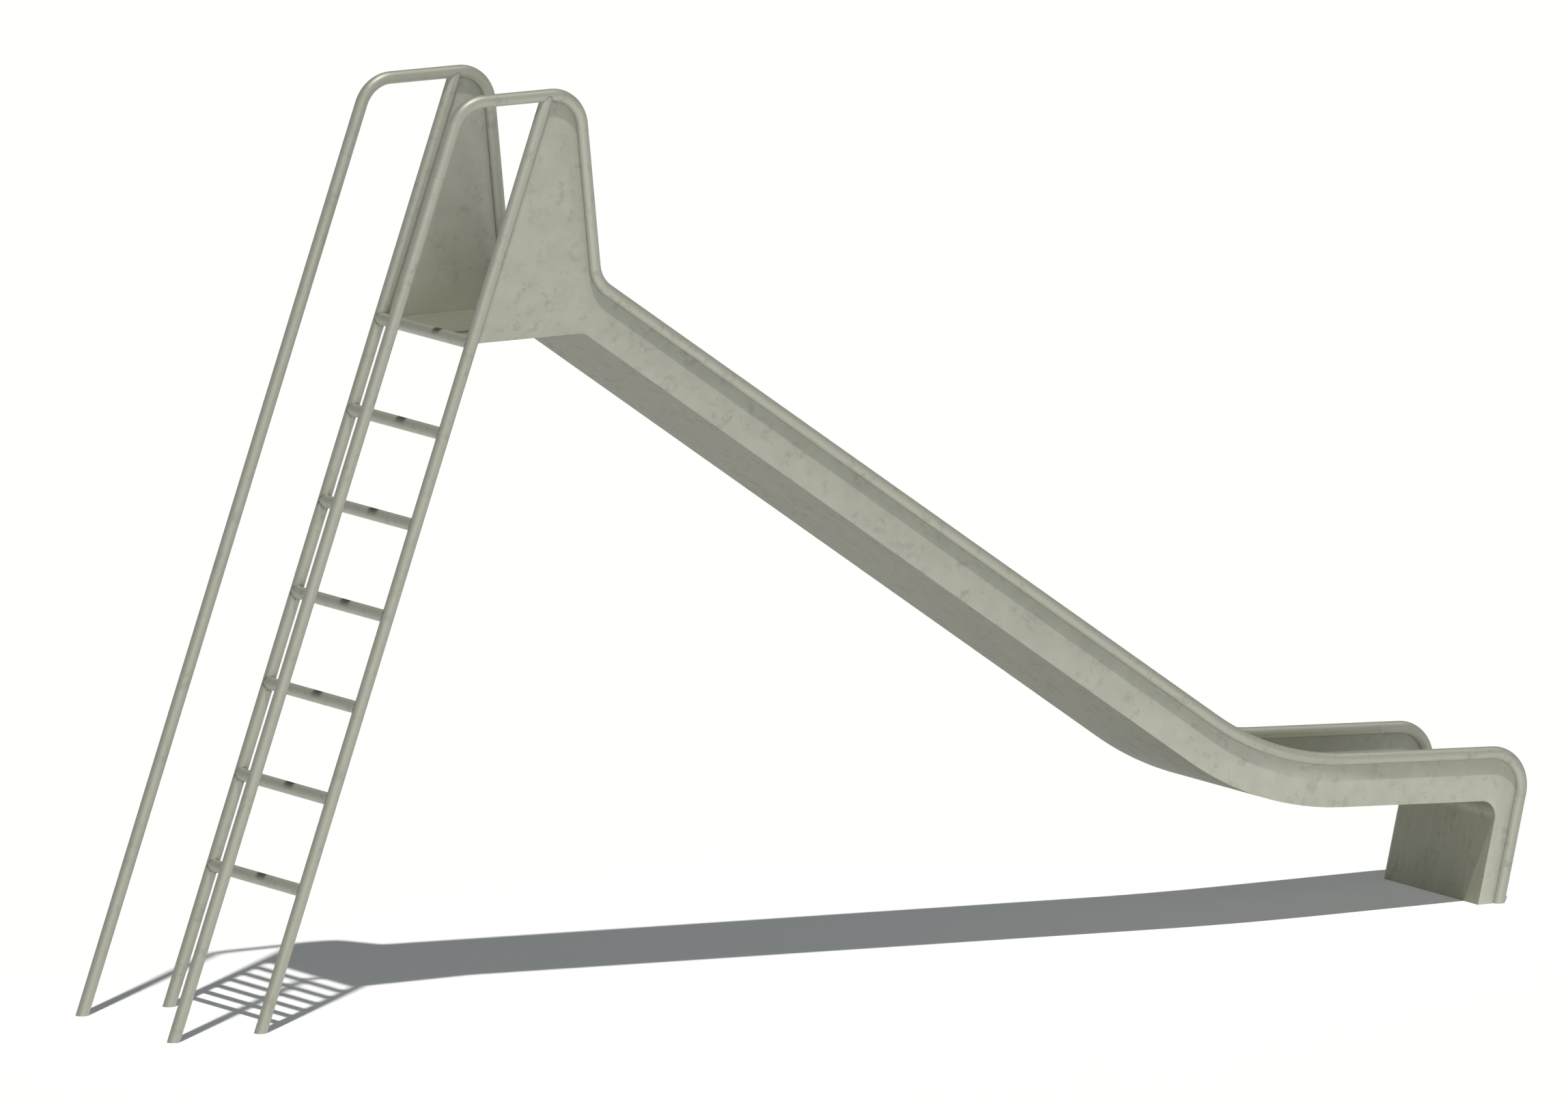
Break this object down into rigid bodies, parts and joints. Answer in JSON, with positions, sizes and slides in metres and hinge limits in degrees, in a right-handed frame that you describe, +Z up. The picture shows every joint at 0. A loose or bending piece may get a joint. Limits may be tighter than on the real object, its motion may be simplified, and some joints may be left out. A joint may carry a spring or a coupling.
{
  "type": "straight playground slide",
  "caption": "Free-standing straight slide of welded stainless tube and sheet: leaning rung ladder with handrails, railed platform, cheeked chute and a run-out that ends in a leg.",
  "frame": {"origin": "on the ground under the centre of the slide's bounding box", "axes": "+X down the slide from the ladder to the exit, +Y to the left of a child who slides down, +Z up"},
  "size_m": [5.3451, 0.6424, 3.1],
  "materials": {
    "tube": "satin ground stainless tube",
    "sheet": "mill-finish stainless sheet with cloudy weathering",
    "bed": "stainless sheet brushed along the slide",
    "inner_steel": "plain turned stainless"
  },
  "bodies": {
    "root": {"left_ladder_stringer": "tube", "left_handrail_post": "tube", "left_handrail_bend": "tube", "left_top_rail": "tube", "left_guard_tube": "tube", "left_chute_rail": "tube", "left_exit_rail": "tube", "left_leg_tube": "tube", "left_guard_panel": "sheet", "left_chute_cheek": "sheet", "left_exit_cheek": "sheet", "right_ladder_stringer": "tube", "right_handrail_post": "tube", "right_handrail_bend": "tube", "right_top_rail": "tube", "right_guard_tube": "tube", "right_chute_rail": "tube", "right_exit_rail": "tube", "right_leg_tube": "tube", "right_guard_panel": "sheet", "right_chute_cheek": "sheet", "right_exit_cheek": "sheet", "rung_1": "tube", "rung_2": "tube", "rung_3": "tube", "rung_4": "tube", "rung_5": "tube", "rung_6": "tube", "rung_7": "tube", "platform_floor": "bed", "chute_bed": "bed", "exit_bed": "bed", "exit_leg_plate": "bed", "post_joint_sleeves": "inner_steel", "ladder_foot_caps": "inner_steel", "leg_foot_caps": "inner_steel"}
  },
  "joints": []
}
